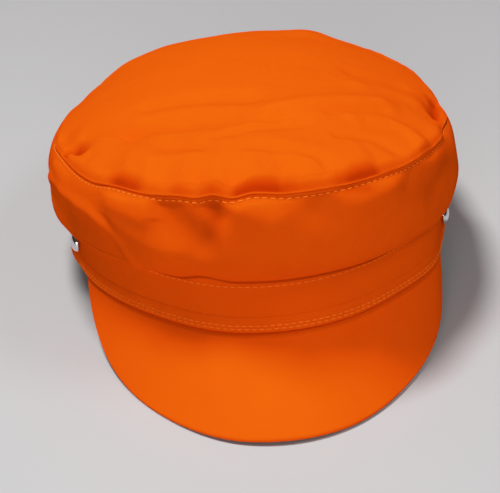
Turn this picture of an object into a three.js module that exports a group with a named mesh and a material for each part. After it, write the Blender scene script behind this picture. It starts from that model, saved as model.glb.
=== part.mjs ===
// A soft captain's cap of orange cotton twill: a full crown that puffs out over a stitched band, a
// bound lower edge, a steep cloth-covered peak and a domed chrome button at each end of the peak.
// It lies as it would by itself, leaning back on the peak's edge and the back of the rim.
import * as THREE from 'three';
import { mergeVertices } from 'three/addons/utils/BufferGeometryUtils.js';

// Driving sizes, in millimetres. Shapes are worked out in the wearer's frame: x across, y from the
// peak to the back, z up from the band's lower edge. Angles go round from the front, in degrees.
const gap = 0.3;
const clothWall = 1.6;
const stepsRound = 72;
const band = { halfWidth: 87.5, halfLength: 99.5, narrowing: 0.083, height: 32, wall: 1.8 };
const binding = { height: 7.5, wall: 0.9, corner: 0.6 };
const seam = { halfWidth: 89.5, front: 113, back: 104.5, narrowing: 0.05, zSide: 56, zFront: 68, zBack: 63 };
const puff = { halfWidth: 94.2, front: 113.5, back: 106.5, narrowing: 0.06, z: 41, frontRise: 4 };
const dome = { height: 87, fullness: 2.3, rings: 11, rimOverhang: 1.0 };
const lip = { out: 2.8, tuck: 1.5, innerReach: 1.2 };
const peak = { length: 45.6, slope: 49.5, slopeEase: 2.9, halfAngle: 73.5, roundness: 3.1,
  leftRoundness: 4.2, converge: 0.05, wall: 2.6, flange: 6, horn: 1.5, steps: 44 };
const button = { radius: 4.3, rise: 2.6, edge: 0.7, post: 1.8, postLength: 0.5, angle: 80, z: 12.2, sides: 16 };
const floorPress = 0.8;

// How the forms wander as they go round: out is away from the middle, rise is up
const bandRows = [
  { angle: -180, out: 0, rise: 0 }, { angle: -120, out: 0.5, rise: 0 }, { angle: -90, out: 1.5, rise: 0 },
  { angle: -76, out: -0.6, rise: 0.2 }, { angle: -40, out: -2.0, rise: 1.0 }, { angle: -10, out: 0, rise: 0.4 },
  { angle: 20, out: 0, rise: 0.2 }, { angle: 42, out: -0.6, rise: 0.5 }, { angle: 62, out: 0.4, rise: -0.3 },
  { angle: 78, out: -1.8, rise: 0 }, { angle: 120, out: 0, rise: 0 }, { angle: 180, out: 0, rise: 0 },
];
const lipRows = [
  { angle: -180, z: 21 }, { angle: -120, z: 18 }, { angle: -80, z: 18.3 }, { angle: -60, z: 22.5 },
  { angle: -42, z: 24.2 }, { angle: -28, z: 25.2 }, { angle: -19, z: 27.6 }, { angle: -10, z: 26 },
  { angle: 10, z: 25.8 }, { angle: 40, z: 24.8 }, { angle: 62, z: 22.8 }, { angle: 80, z: 18.3 },
  { angle: 120, z: 18 }, { angle: 180, z: 21 },
];
const seamRows = [
  { angle: -180, out: 0, rise: 0 }, { angle: -158, out: 0, rise: 1.2 }, { angle: -140, out: -1, rise: 1.2 },
  { angle: -122, out: -3.2, rise: 0 }, { angle: -110, out: -2.8, rise: -0.4 }, { angle: -98, out: -0.2, rise: 0 },
  { angle: -87, out: 1, rise: 0 }, { angle: -74, out: 0, rise: 1.2 }, { angle: -54, out: 0.5, rise: -0.7 },
  { angle: -44, out: 0, rise: 0.2 }, { angle: -33, out: 0, rise: -0.6 }, { angle: -24, out: 0, rise: 0 },
  { angle: -19, out: 0, rise: -0.6 }, { angle: -14, out: 0, rise: 0.8 }, { angle: -9, out: 0, rise: -0.7 },
  { angle: -3, out: 0, rise: 0.9 }, { angle: 6, out: 0, rise: -0.4 }, { angle: 22, out: 0, rise: -0.5 },
  { angle: 40, out: 0, rise: 0 }, { angle: 54, out: 0, rise: 1 }, { angle: 64, out: -0.5, rise: 1.6 },
  { angle: 73, out: -3.4, rise: 1.2 }, { angle: 84, out: -2.4, rise: 0.4 }, { angle: 94, out: -4.4, rise: 0.4 },
  { angle: 106, out: -4.2, rise: 0.5 }, { angle: 120, out: -3.0, rise: 1.2 }, { angle: 134, out: -2.2, rise: 1.4 },
  { angle: 146, out: -2.5, rise: 0.2 }, { angle: 164, out: 0, rise: 1.2 }, { angle: 180, out: 0, rise: 0 },
];
const puffRows = [
  { angle: -180, out: 0 }, { angle: -100, out: 0 }, { angle: -60, out: 0.5 }, { angle: 40, out: 0 },
  { angle: 66, out: -1.8 }, { angle: 90, out: -3.8 }, { angle: 130, out: -2.4 }, { angle: 180, out: 0 },
];

// Folds of the side panel run from one angle and height to another, with height 0 at the lip and 1
// at the crown seam. A positive lift is a ridge and a negative one a hollow.
const sideFolds = [
  { angle: -80, height: 0.70, toAngle: -54, toHeight: 0.67, width: 5, lift: 2.0 },
  { angle: -54, height: 0.67, toAngle: -44, toHeight: 0.48, width: 5, lift: 2.6 },
  { angle: -44, height: 0.48, toAngle: -39, toHeight: 0.06, width: 5, lift: 2.2 },
  { angle: -72, height: 0.42, toAngle: -48, toHeight: 0.30, width: 13, lift: -4.0 },
  { angle: -104, height: 0.24, toAngle: -84, toHeight: 0.26, width: 10, lift: 1.4 },
  { angle: -43, height: 0.64, toAngle: -27, toHeight: 0.44, width: 5, lift: 1.4 },
  { angle: -76, height: 0.86, toAngle: -68, toHeight: 0.80, width: 6, lift: 1.6 },
  { angle: -42, height: 0.84, toAngle: -31, toHeight: 0.70, width: 8, lift: 2.6 },
  { angle: -27, height: 0.88, toAngle: -18, toHeight: 0.56, width: 8, lift: -2.4 },
  { angle: -9, height: 0.94, toAngle: -5, toHeight: 0.82, width: 5, lift: -2.4 },
  { angle: -3, height: 0.86, toAngle: 5, toHeight: 0.68, width: 8, lift: 2.6 },
  { angle: 14, height: 0.80, toAngle: 20, toHeight: 0.66, width: 7, lift: -1.4 },
  { angle: 24, height: 0.78, toAngle: 35, toHeight: 0.84, width: 7, lift: 2.0 },
  { angle: 44, height: 0.80, toAngle: 60, toHeight: 0.35, width: 8, lift: -1.8 },
  { angle: 56, height: 0.84, toAngle: 78, toHeight: 0.45, width: 7, lift: 1.8 },
  { angle: 100, height: 0.86, toAngle: 112, toHeight: 0.45, width: 8, lift: -2.2 },
  { angle: 124, height: 0.80, toAngle: 140, toHeight: 0.62, width: 9, lift: 2.0 },
  { angle: 158, height: 0.84, toAngle: 170, toHeight: 0.50, width: 8, lift: -2.0 },
  { angle: -168, height: 0.82, toAngle: -154, toHeight: 0.60, width: 9, lift: 2.2 },
  { angle: -140, height: 0.86, toAngle: -128, toHeight: 0.50, width: 8, lift: -2.2 },
  { angle: -114, height: 0.80, toAngle: -100, toHeight: 0.55, width: 8, lift: 2.0 },
];

// Folds of the top run from one x and y to another
const topFolds = [
  { x: -86, y: -12, toX: -76, toY: -38, width: 6, lift: -3.2 },
  { x: -66, y: -69, toX: -52, toY: -86, width: 6, lift: -2.8 },
  { x: -41, y: -93, toX: -34, toY: -99, width: 5, lift: -2.6 },
  { x: -26, y: -101, toX: -17, toY: -105, width: 5, lift: -2.2 },
  { x: -9, y: -107, toX: 7, toY: -101, width: 7, lift: -4.2 },
  { x: 15, y: -105, toX: 24, toY: -103, width: 4, lift: -1.5 },
  { x: 34, y: -100, toX: 50, toY: -90, width: 5, lift: -2.2 },
  { x: 79, y: -4, toX: 82, toY: -26, width: 5, lift: -3.4 },
  { x: -70, y: -30, toX: -53, toY: -49, width: 7, lift: -1.4 },
  { x: -53, y: -49, toX: -3, toY: -60, width: 7, lift: -1.2 },
  { x: -45, y: -31, toX: -2, toY: -45, width: 6, lift: -0.9 },
  { x: -3, y: -62, toX: 54, toY: -43, width: 7, lift: 1.3 },
  { x: 45, y: -8, toX: 67, toY: -4, width: 5, lift: -1.2 },
  { x: 46, y: -25, toX: 70, toY: -21, width: 5, lift: 1.2 },
  { x: 47, y: -60, toX: 70, toY: -56, width: 7, lift: -1.6 },
  { x: 5, y: -82, toX: 21, toY: -90, width: 6, lift: 1.2 },
  { x: -66, y: 70, toX: -42, toY: 78, width: 10, lift: 1.0 },
  { x: -6, y: 58, toX: 2, toY: 70, width: 10, lift: 0.8 },
  { x: 30, y: 58, toX: 38, toY: 88, width: 11, lift: 3.6 },
  { x: 60, y: 50, toX: 72, toY: 66, width: 12, lift: -2.4 },
  { x: -8, y: 78, toX: -12, toY: 100, width: 9, lift: -1.6 },
];

const turn = Math.PI / 180;

// Smooth reading of a table between its rows
function rowValue(rows, column, angle) {
  const at = ((angle + 180) % 360 + 360) % 360 - 180;
  const next = Math.max(1, rows.findIndex((row) => row.angle >= at));
  const a = rows[next - 1];
  const b = rows[next];
  const share = THREE.MathUtils.smoothstep(at, a.angle, b.angle);
  return a[column] + (b[column] - a[column]) * share;
}

// Egg-shaped oval, narrower at the front, with its own half-lengths to the front and the back
function oval(halfWidth, front, back, narrowing, angle) {
  const s = Math.sin(angle * turn);
  const c = Math.cos(angle * turn);
  const length = c > 0 ? front : back;
  return new THREE.Vector3(halfWidth * s * (1 - narrowing * c), -length * c, 0);
}

// Rises smoothly from the sides to the front or to the back
function frontShare(angle) {
  return Math.max(0, Math.cos(angle * turn)) ** 1.5;
}

function backShare(angle) {
  return Math.max(0, -Math.cos(angle * turn)) ** 1.5;
}

// The band's outer face, moved out by a little, at a height above its lower edge
function bandPoint(angle, out, z) {
  const reach = out + rowValue(bandRows, 'out', angle);
  const point = oval(band.halfWidth + reach, band.halfLength + reach, band.halfLength + reach,
    band.narrowing, angle);
  point.z = z + rowValue(bandRows, 'rise', angle) * Math.max(0, 1 - z / band.height);
  return point;
}

// The crown seam: higher at the front and back than at the sides, and wavy
function seamPoint(angle, out) {
  const reach = out + rowValue(seamRows, 'out', angle);
  const point = oval(seam.halfWidth + reach, seam.front + reach, seam.back + reach, seam.narrowing, angle);
  point.z = seam.zSide + rowValue(seamRows, 'rise', angle)
    + (seam.zFront - seam.zSide) * frontShare(angle) + (seam.zBack - seam.zSide) * backShare(angle);
  return point;
}

function puffPoint(angle) {
  const reach = rowValue(puffRows, 'out', angle);
  const point = oval(puff.halfWidth + reach, puff.front + reach, puff.back + reach, puff.narrowing, angle);
  point.z = puff.z + puff.frontRise * frontShare(angle);
  return point;
}

// One fold's lift at a place, a bell across the line from its start to its end
function bell(u, v, u1, v1, u2, v2, width, lift) {
  const along = ((u - u1) * (u2 - u1) + (v - v1) * (v2 - v1)) / ((u2 - u1) ** 2 + (v2 - v1) ** 2);
  const t = THREE.MathUtils.clamp(along, 0, 1);
  const away = Math.hypot(u - u1 - t * (u2 - u1), v - v1 - t * (v2 - v1));
  return lift * Math.exp(-((away / width) ** 2));
}

function sideLift(angle, height) {
  const perDegree = 1.75;
  const panelHeight = 46;
  let sum = 0;
  for (const fold of sideFolds) {
    const near = ((angle - fold.angle + 180) % 360 + 360) % 360 - 180;
    sum += bell(near * perDegree, height * panelHeight, 0, fold.height * panelHeight,
      (fold.toAngle - fold.angle) * perDegree, fold.toHeight * panelHeight, fold.width, fold.lift);
  }
  return sum * THREE.MathUtils.smoothstep(1 - height, 0, 0.12) * THREE.MathUtils.smoothstep(height, 0, 0.15);
}

function topLift(x, y, ring) {
  let sum = 0;
  for (const fold of topFolds) {
    sum += bell(x, y, fold.x, fold.y, fold.toX, fold.toY, fold.width, fold.lift);
  }
  return sum * THREE.MathUtils.smoothstep(1 - ring, 0, 0.07);
}

// The side panel above the lip: a cubic curve from the lip out to the puff and in to the seam
function panelPoint(angle, height) {
  const low = bandPoint(angle, lip.out, 0).setZ(rowValue(lipRows, 'z', angle) + clothWall / 2);
  const wide = puffPoint(angle);
  const high = seamPoint(angle, 0);
  const leave = new THREE.Vector3(wide.x, wide.y, low.z + 0.15 * (wide.z - low.z));
  const arrive = new THREE.Vector3(wide.x + 0.9 * (wide.x - high.x), wide.y + 0.9 * (wide.y - high.y),
    wide.z + 0.55 * (high.z - wide.z));
  const curve = new THREE.CubicBezierCurve3(low, leave, arrive, high);
  const point = curve.getPoint(height);
  const outward = new THREE.Vector3(wide.x, wide.y * 0.8, 0).normalize();
  return point.addScaledVector(outward, sideLift(angle, height));
}

// The top: a soft dome over the seam
function topPoint(angle, ring) {
  const rim = seamPoint(angle, dome.rimOverhang);
  const rimZ = rim.z + gap + clothWall / 2;
  const x = rim.x * ring;
  const y = rim.y * ring;
  const z = dome.height + (rimZ - dome.height) * ring ** dome.fullness;
  return new THREE.Vector3(x, y, z + topLift(x, y, ring));
}

// The peak's face: straight lines that run forward and down from the band's lower edge
function peakPoint(angle, share) {
  const across = angle / peak.halfAngle;
  const roundness = across < 0 ? peak.leftRoundness : peak.roundness;
  const width = peak.horn + (peak.length - peak.horn) * Math.sqrt(1 - Math.abs(across) ** roundness);
  const slope = (peak.slope - peak.slopeEase * across ** 2) * turn;
  const point = bandPoint(angle, -peak.wall / 2, -gap - peak.wall / 2);
  point.x -= peak.converge * Math.sin(angle * turn) * Math.cos(slope) * width * share;
  point.y -= Math.cos(slope) * width * share;
  point.z -= Math.sin(slope) * width * share;
  return point;
}

// Turns a grid of points on a cloth's middle surface into a closed wall. middle[i] is one section,
// and wraps says that the last section meets the first. firstCut and lastCut square off the edges.
function wallOf(middle, thickness, wraps, cuts = {}) {
  const rows = middle.length;
  const columns = middle[0].length;
  const at = (i, j) => middle[wraps ? (i + rows) % rows : THREE.MathUtils.clamp(i, 0, rows - 1)][
    THREE.MathUtils.clamp(j, 0, columns - 1)];
  const positions = [];
  for (const side of [0.5, -0.5]) {
    for (let i = 0; i < rows; i++) {
      for (let j = 0; j < columns; j++) {
        const alongRow = at(i, j + 1).clone().sub(at(i, j - 1));
        const acrossRows = at(i + 1, j).clone().sub(at(i - 1, j));
        let normal = alongRow.cross(acrossRows);
        if (j === 0 && cuts.first) normal = cuts.first(normal);
        if (j === columns - 1 && cuts.last) normal = cuts.last(normal);
        const point = at(i, j).clone().addScaledVector(normal.normalize(), side * thickness);
        positions.push(point.x, point.y, point.z);
      }
    }
  }
  const index = [];
  const quad = (a, b, c, d) => index.push(a, b, c, a, c, d);
  const outer = (i, j) => (i % rows) * columns + j;
  const inner = (i, j) => outer(i, j) + rows * columns;
  const spans = wraps ? rows : rows - 1;
  for (let i = 0; i < spans; i++) {
    for (let j = 0; j < columns - 1; j++) {
      quad(outer(i, j), outer(i, j + 1), outer(i + 1, j + 1), outer(i + 1, j));
      quad(inner(i, j), inner(i + 1, j), inner(i + 1, j + 1), inner(i, j + 1));
    }
    quad(outer(i, 0), outer(i + 1, 0), inner(i + 1, 0), inner(i, 0));
    quad(outer(i, columns - 1), inner(i, columns - 1), inner(i + 1, columns - 1), outer(i + 1, columns - 1));
  }
  if (!wraps) {
    for (let j = 0; j < columns - 1; j++) {
      quad(outer(0, j), inner(0, j), inner(0, j + 1), outer(0, j + 1));
      quad(outer(rows - 1, j), outer(rows - 1, j + 1), inner(rows - 1, j + 1), inner(rows - 1, j));
    }
  }
  return closedGeometry(positions, index);
}

// Merges shared corners, drops the empty triangles at a pole and faces the body outwards
function closedGeometry(positions, index) {
  let geometry = new THREE.BufferGeometry();
  geometry.setAttribute('position', new THREE.Float32BufferAttribute(positions, 3));
  geometry.setIndex(index);
  geometry = mergeVertices(geometry, 0.001);
  const merged = geometry.index.array;
  const corners = geometry.attributes.position;
  const kept = [];
  const [a, b, c] = [new THREE.Vector3(), new THREE.Vector3(), new THREE.Vector3()];
  let volume = 0;
  for (let t = 0; t < merged.length; t += 3) {
    const [i, j, k] = merged.slice(t, t + 3);
    if (i !== j && j !== k && k !== i) {
      kept.push(i, j, k);
      a.fromBufferAttribute(corners, i);
      b.fromBufferAttribute(corners, j);
      c.fromBufferAttribute(corners, k);
      volume += a.dot(b.cross(c));
    }
  }
  geometry.setIndex(volume > 0 ? kept : kept.reverse());
  return geometry;
}

// Sections of a ring-shaped piece all the way round the head
function roundHead(sectionAt) {
  return Array.from({ length: stepsRound }, (_, i) => sectionAt(i / stepsRound * 360 - 180));
}

const upright = () => new THREE.Vector3(0, 0, 1);
const level = (normal) => normal.setZ(0);

function bandGeometry() {
  const middleOut = -band.wall / 2;
  const heights = [binding.wall + gap, band.height / 2, band.height];
  const sections = roundHead((angle) => heights.map((z) => bandPoint(angle, middleOut, z)));
  return wallOf(sections, band.wall, true, { first: level, last: level });
}

// A strip folded up over the band's lower edge, inside and out
function bindingGeometry() {
  const outside = gap + binding.wall / 2;
  const inside = -band.wall - outside;
  const low = binding.wall / 2;
  const fold = low + binding.corner;
  const path = [[outside, binding.height], [outside, fold], [outside - binding.corner, low],
    [inside + binding.corner, low], [inside, fold], [inside, binding.height]];
  const sections = roundHead((angle) => path.map(([out, z]) => bandPoint(angle, out, z)));
  return wallOf(sections, binding.wall, true, { first: level, last: level });
}

// The side panel starts on the band's top edge, drops to the lip and rises over the puff to the seam
function crownSideGeometry() {
  const topZ = band.height + gap + clothWall / 2;
  const heights = [0, 0.1, 0.22, 0.36, 0.5, 0.63, 0.75, 0.86, 0.94, 1];
  const sections = roundHead((angle) => {
    const lipZ = rowValue(lipRows, 'z', angle) + clothWall / 2;
    return [
      bandPoint(angle, -lip.innerReach, topZ),
      bandPoint(angle, lip.tuck, topZ - 0.2),
      bandPoint(angle, lip.tuck, 0).setZ(lipZ + 1.2),
      ...heights.map((height) => panelPoint(angle, height)),
    ];
  });
  return wallOf(sections, clothWall, true, { first: upright, last: level });
}

function crownTopGeometry() {
  const rings = Array.from({ length: dome.rings + 1 }, (_, k) => 1 - (k / dome.rings) ** 1.35);
  const sections = roundHead((angle) => rings.map((ring) => topPoint(angle, Math.max(0, ring))));
  return wallOf(sections, clothWall, true, { first: upright, last: upright });
}

// The peak keeps a sewn edge that turns up inside the band
function peakGeometry() {
  const inside = -band.wall - 2 * gap - binding.wall - peak.wall / 2;
  const shares = [0, 0.25, 0.5, 0.75, 0.93, 1];
  const sections = Array.from({ length: peak.steps + 1 }, (_, i) => {
    const angle = (i / peak.steps * 2 - 1) * peak.halfAngle;
    return [
      bandPoint(angle, inside, peak.flange),
      bandPoint(angle, inside, -gap),
      ...shares.map((share) => peakPoint(angle, share)),
    ];
  });
  return wallOf(sections, peak.wall, false, { first: level });
}

// A short post holds the domed cap clear of the binding
function buttonGeometry() {
  const back = button.postLength;
  const profile = [new THREE.Vector2(0, 0), new THREE.Vector2(button.post, 0),
    new THREE.Vector2(button.post, back), new THREE.Vector2(button.radius - 0.5, back),
    new THREE.Vector2(button.radius, back + 0.4), new THREE.Vector2(button.radius, back + button.edge)];
  const domeSteps = 4;
  for (let k = 1; k <= domeSteps; k++) {
    const lean = k / domeSteps * 90 * turn;
    const y = back + button.edge + (button.rise - button.edge) * Math.sin(lean);
    profile.push(new THREE.Vector2(k === domeSteps ? 0 : button.radius * Math.cos(lean), y));
  }
  return new THREE.LatheGeometry(profile, button.sides);
}

// The angle at which the peak's edge and the back of the rim are equally low
function restingTilt(frontGeometry, backGeometry) {
  const lowest = (geometry, tilt) => {
    const turned = geometry.clone().rotateX(-tilt);
    turned.computeBoundingBox();
    return turned.boundingBox.min.z;
  };
  let small = 0;
  let large = 25 * turn;
  for (let k = 0; k < 30; k++) {
    const middle = (small + large) / 2;
    if (lowest(frontGeometry, middle) < lowest(backGeometry, middle)) small = middle;
    else large = middle;
  }
  return { tilt: small, z: lowest(backGeometry, small) };
}

// Cloth that would reach below the surface is pressed flat on it
function pressFlat(geometry, rest) {
  geometry.rotateX(-rest.tilt);
  const corners = geometry.attributes.position;
  for (let i = 0; i < corners.count; i++) {
    corners.setZ(i, Math.max(corners.getZ(i), rest.z + floorPress));
  }
  return geometry.rotateX(rest.tilt);
}

const cotton = { color: 0xe8620c, roughness: 0.88, metalness: 0 };
const coveredBoard = { color: 0xee640e, roughness: 0.85, metalness: 0 };
const chrome = { color: 0xc9c9cc, roughness: 0.15, metalness: 1 };

function piece(name, geometry, finish) {
  const mesh = new THREE.Mesh(geometry, new THREE.MeshStandardMaterial(finish));
  mesh.name = name;
  return mesh;
}

const peakShape = peakGeometry();
const bindingShape = bindingGeometry();
const rest = restingTilt(peakShape, bindingShape);

const hat = new THREE.Group();
hat.add(
  piece('crown_top', crownTopGeometry(), cotton),
  piece('crown_side', crownSideGeometry(), cotton),
  piece('band', bandGeometry(), cotton),
  piece('band_binding', pressFlat(bindingShape, rest), cotton),
  piece('visor', pressFlat(peakShape, rest), coveredBoard),
);

// Each button stands square to the band, just clear of the cloth
for (const side of [{ name: 'button_left', sign: -1 }, { name: 'button_right', sign: 1 }]) {
  const angle = side.sign * button.angle;
  const before = bandPoint(angle - 1, 0, button.z);
  const after = bandPoint(angle + 1, 0, button.z);
  const outward = new THREE.Vector3(after.y - before.y, before.x - after.x, 0).normalize();
  if (outward.x * side.sign < 0) outward.negate();
  const mesh = piece(side.name, buttonGeometry(), chrome);
  mesh.position.copy(bandPoint(angle, 0, button.z)).addScaledVector(outward, gap);
  mesh.quaternion.setFromUnitVectors(new THREE.Vector3(0, 1, 0), outward);
  hat.add(mesh);
}

// The hat leans back onto the surface, and the part's origin is the middle of its foot
hat.rotation.x = -rest.tilt;
const captainHat = new THREE.Group();
captainHat.add(hat);
const bounds = new THREE.Box3().setFromObject(captainHat, true);
hat.position.set(-(bounds.min.x + bounds.max.x) / 2, -(bounds.min.y + bounds.max.y) / 2, -bounds.min.z);
captainHat.updateMatrixWorld(true);

export default captainHat;
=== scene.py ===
import math
import bmesh
import bpy
import numpy as np
from mathutils import Matrix


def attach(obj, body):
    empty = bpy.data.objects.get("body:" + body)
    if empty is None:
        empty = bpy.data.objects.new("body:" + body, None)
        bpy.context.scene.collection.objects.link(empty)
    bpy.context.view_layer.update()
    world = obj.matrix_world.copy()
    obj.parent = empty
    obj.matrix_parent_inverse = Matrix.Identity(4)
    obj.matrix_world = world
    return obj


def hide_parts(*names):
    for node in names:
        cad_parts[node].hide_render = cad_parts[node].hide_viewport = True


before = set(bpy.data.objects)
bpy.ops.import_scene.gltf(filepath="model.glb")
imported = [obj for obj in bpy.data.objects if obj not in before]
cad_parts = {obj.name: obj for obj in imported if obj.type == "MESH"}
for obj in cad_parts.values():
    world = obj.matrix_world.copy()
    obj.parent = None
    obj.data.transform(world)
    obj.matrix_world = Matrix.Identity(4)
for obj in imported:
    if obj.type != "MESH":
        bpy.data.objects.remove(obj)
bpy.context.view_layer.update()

mm = 0.001
gap = 0.3                # between neighbouring pieces

# Everything is worked out in millimetres in the wearer's frame: x across, y from the peak to the
# back, z up from the rim. Angles go round from the front in degrees. Then the hat leans back.
lying = {"tilt": 9.637, "shift": (2.567, 8.939, 15.887)}


def smooth(x):           # 3x^2 - 2x^3 between 0 and 1
    x = np.clip(x, 0, 1)
    return x * x * (3 - 2 * x)


def bell(x, middle, width):    # exp(-((x - middle) / width)^2)
    return np.exp(-((x - middle) / width) ** 2)


def wrapAngle(angle):    # the same angle between -180 and 180
    return (np.asarray(angle, float) + 180) % 360 - 180


def readRows(rows, column, angle):
    # a table read smoothly between its rows: a + (b - a) * smooth(share of the way)
    at = wrapAngle(angle)
    angles = np.array(rows["angle"], float)
    values = np.array(rows[column], float)
    i = np.clip(np.searchsorted(angles, at), 1, len(angles) - 1)
    share = smooth((at - angles[i - 1]) / (angles[i] - angles[i - 1]))
    return values[i - 1] + (values[i] - values[i - 1]) * share


def oval(size, angle, out):
    # egg shape: x = a sin(angle) (1 - narrowing cos(angle)), y = -l cos(angle), l by front or back
    s, c = np.sin(np.radians(angle)), np.cos(np.radians(angle))
    length = np.where(c > 0, size["front"], size["back"]) + out
    return (size["halfWidth"] + out) * s * (1 - size["narrowing"] * c), -length * c


def stack(x, y, z):      # three coordinates into one array of places
    return np.stack(np.broadcast_arrays(x, y, z), -1).astype(float)


def frontShare(angle):   # 1 at the front, 0 from the sides to the back
    return np.clip(np.cos(np.radians(angle)), 0, 1) ** 1.5


def backShare(angle):    # 1 at the back, 0 from the sides to the front
    return np.clip(-np.cos(np.radians(angle)), 0, 1) ** 1.5


def foldSum(folds, u, v, scaleU=1, scaleV=1, wrapped=False):
    # each fold is a bell across its path, lift * exp(-(away / width)^2), with one width to the left
    # of the way the path runs and another to the right
    total = np.zeros(np.broadcast(u, v).shape)
    for path, left, right, lift in folds:
        nearest = np.full(total.shape, 1e9)
        width = np.full(total.shape, float(left))
        for (u1, v1), (u2, v2) in zip(path, path[1:]):
            du = (wrapAngle(u - u1) if wrapped else u - u1) * scaleU
            dv = (v - v1) * scaleV
            runU, runV = (u2 - u1) * scaleU, (v2 - v1) * scaleV
            t = np.clip((du * runU + dv * runV) / (runU ** 2 + runV ** 2), 0, 1)
            away = (du - t * runU) ** 2 + (dv - t * runV) ** 2
            onLeft = runU * (dv - t * runV) - runV * (du - t * runU) > 0
            closer = away < nearest
            width = np.where(closer, np.where(onLeft, left, right), width)
            nearest = np.where(closer, away, nearest)
        total = total + lift * np.exp(-nearest / width ** 2)
    return total


# the band and the strip over its lower edge; perDegree is how far a degree goes along the cloth
bandSize = {"halfWidth": 87.5, "front": 99.5, "back": 99.5, "narrowing": 0.083, "height": 32, "wall": 1.8,
            "perDegree": 1.63}
bandRows = {
    "angle": [-180, -120, -90, -76, -40, -10, 20, 42, 62, 78, 120, 180],
    "out":   [0, 0.5, 1.5, -0.6, -2.0, 0, 0, -0.6, 0.4, -1.8, 0, 0],
    "rise":  [0, 0, 0, 0.2, 1.0, 0.4, 0.2, 0.5, -0.3, 0, 0, 0],
}


def bandAt(angle, out, z):
    # the oval of the band's outer face, moved out, at a height above the rim
    x, y = oval(bandSize, angle, out + readRows(bandRows, "out", angle))
    lift = readRows(bandRows, "rise", angle) * np.clip(1 - np.asarray(z) / bandSize["height"], 0, None)
    return stack(x, y, z + lift)


# the crown: its lip over the band, its widest place, its seam and its dome
cloth = {"wall": 1.6, "perDegree": 1.75}
lip = {"out": 2.8, "tuck": 1.5, "innerReach": 1.2, "turn": 0.4}
lipRows = {
    "angle": [-180, -120, -80, -60, -42, -28, -19, -10, 10, 40, 62, 80, 120, 180],
    "z":     [21, 18, 18.3, 22.5, 24.2, 25.2, 27.6, 26, 25.8, 24.8, 22.8, 18.3, 18, 21],
}
seamSize = {"halfWidth": 89.5, "front": 113, "back": 104.5, "narrowing": 0.05,
            "zSide": 56, "zFront": 68, "zBack": 63}
seamRows = {
    "angle": [-180, -158, -140, -122, -110, -98, -87, -74, -54, -44, -33, -24, -19, -14, -9, -3, 6, 22,
              40, 54, 64, 73, 84, 94, 106, 120, 134, 146, 164, 180],
    "out":   [0, 0, -1, -3.2, -2.8, -0.2, 1, 0, 0.5, 0, 0, 0, 0, 0, 0, 0, 0, 0,
              0, 0, -0.5, -3.4, -2.4, -4.4, -4.2, -3.0, -2.2, -2.5, 0, 0],
    "rise":  [0, 1.2, 1.2, 0, -0.4, 0, 0, 1.2, -0.7, 0.2, -0.6, 0, -0.6, 0.8, -0.7, 0.9, -0.4, -0.5,
              0, 1, 1.6, 1.2, 0.4, 0.4, 0.5, 1.2, 1.4, 0.2, 1.2, 0],
}
puffSize = {"halfWidth": 94.2, "front": 113.5, "back": 106.5, "narrowing": 0.06, "z": 41, "frontRise": 4}
puffRows = {
    "angle": [-180, -100, -60, 40, 66, 90, 130, 180],
    "out":   [0, 0, 0.5, 0, -1.8, -3.8, -2.4, 0],
}
dome = {"height": 87, "fullness": 2.3, "rimOverhang": 1.0}

# folds of the side panel, each a path of angle and height, its two widths and its lift; height runs
# from 0 at the lip to 1 at the crown seam
sideFolds = [
    ([(-80, 0.70), (-54, 0.67), (-44, 0.48), (-39, 0.06)], 3, 6, 2.0),
    ([(-72, 0.42), (-48, 0.30)], 13, 13, -4.0),
    ([(-104, 0.24), (-84, 0.26)], 10, 10, 1.4),
    ([(-43, 0.64), (-27, 0.44)], 6, 3.5, 1.4),
    ([(-76, 0.86), (-68, 0.80)], 6, 6, 1.6),
    ([(-44, 0.86), (-34, 0.78)], 7, 6, 2.6),
    ([(-27, 0.88), (-18, 0.56)], 8, 8, -2.4),
    ([(-15, 0.95), (-12, 0.82)], 5, 5, -2.4),
    ([(-6, 0.88), (1, 0.76)], 8, 8, 2.6),
    ([(14, 0.80), (20, 0.66)], 7, 7, -1.4),
    ([(24, 0.78), (35, 0.84)], 7, 7, 2.0),
    ([(44, 0.80), (60, 0.35)], 8, 8, -0.8),
    ([(56, 0.84), (78, 0.45)], 7, 7, 0.8),
    ([(100, 0.86), (112, 0.45)], 8, 8, -2.2),
    ([(124, 0.80), (140, 0.62)], 9, 9, 2.0),
    ([(158, 0.84), (170, 0.50)], 8, 8, -2.0),
    ([(-168, 0.82), (-154, 0.60)], 9, 9, 2.2),
    ([(-140, 0.86), (-128, 0.50)], 8, 8, -2.2),
    ([(-114, 0.80), (-100, 0.55)], 8, 8, 2.0),
]
# where painted shade goes on the side panel, in the hollows that lie in each other's shade, as paths like
# the folds
sideShades = [
    ([(-74, 0.60), (-62, 0.44), (-50, 0.28), (-43, 0.12)], 12, 8, -0.06),
    ([(-30, 0.84), (-20, 0.74), (-14, 0.82)], 8, 8, -0.25),
    ([(-14, 0.96), (-13, 0.80), (-15, 0.62)], 4, 4, -0.3),
    ([(22, 0.95), (28, 0.91)], 3, 2, -0.5),
    ([(62, 0.80), (50, 0.62)], 5, 6, -0.25),
]
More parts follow.
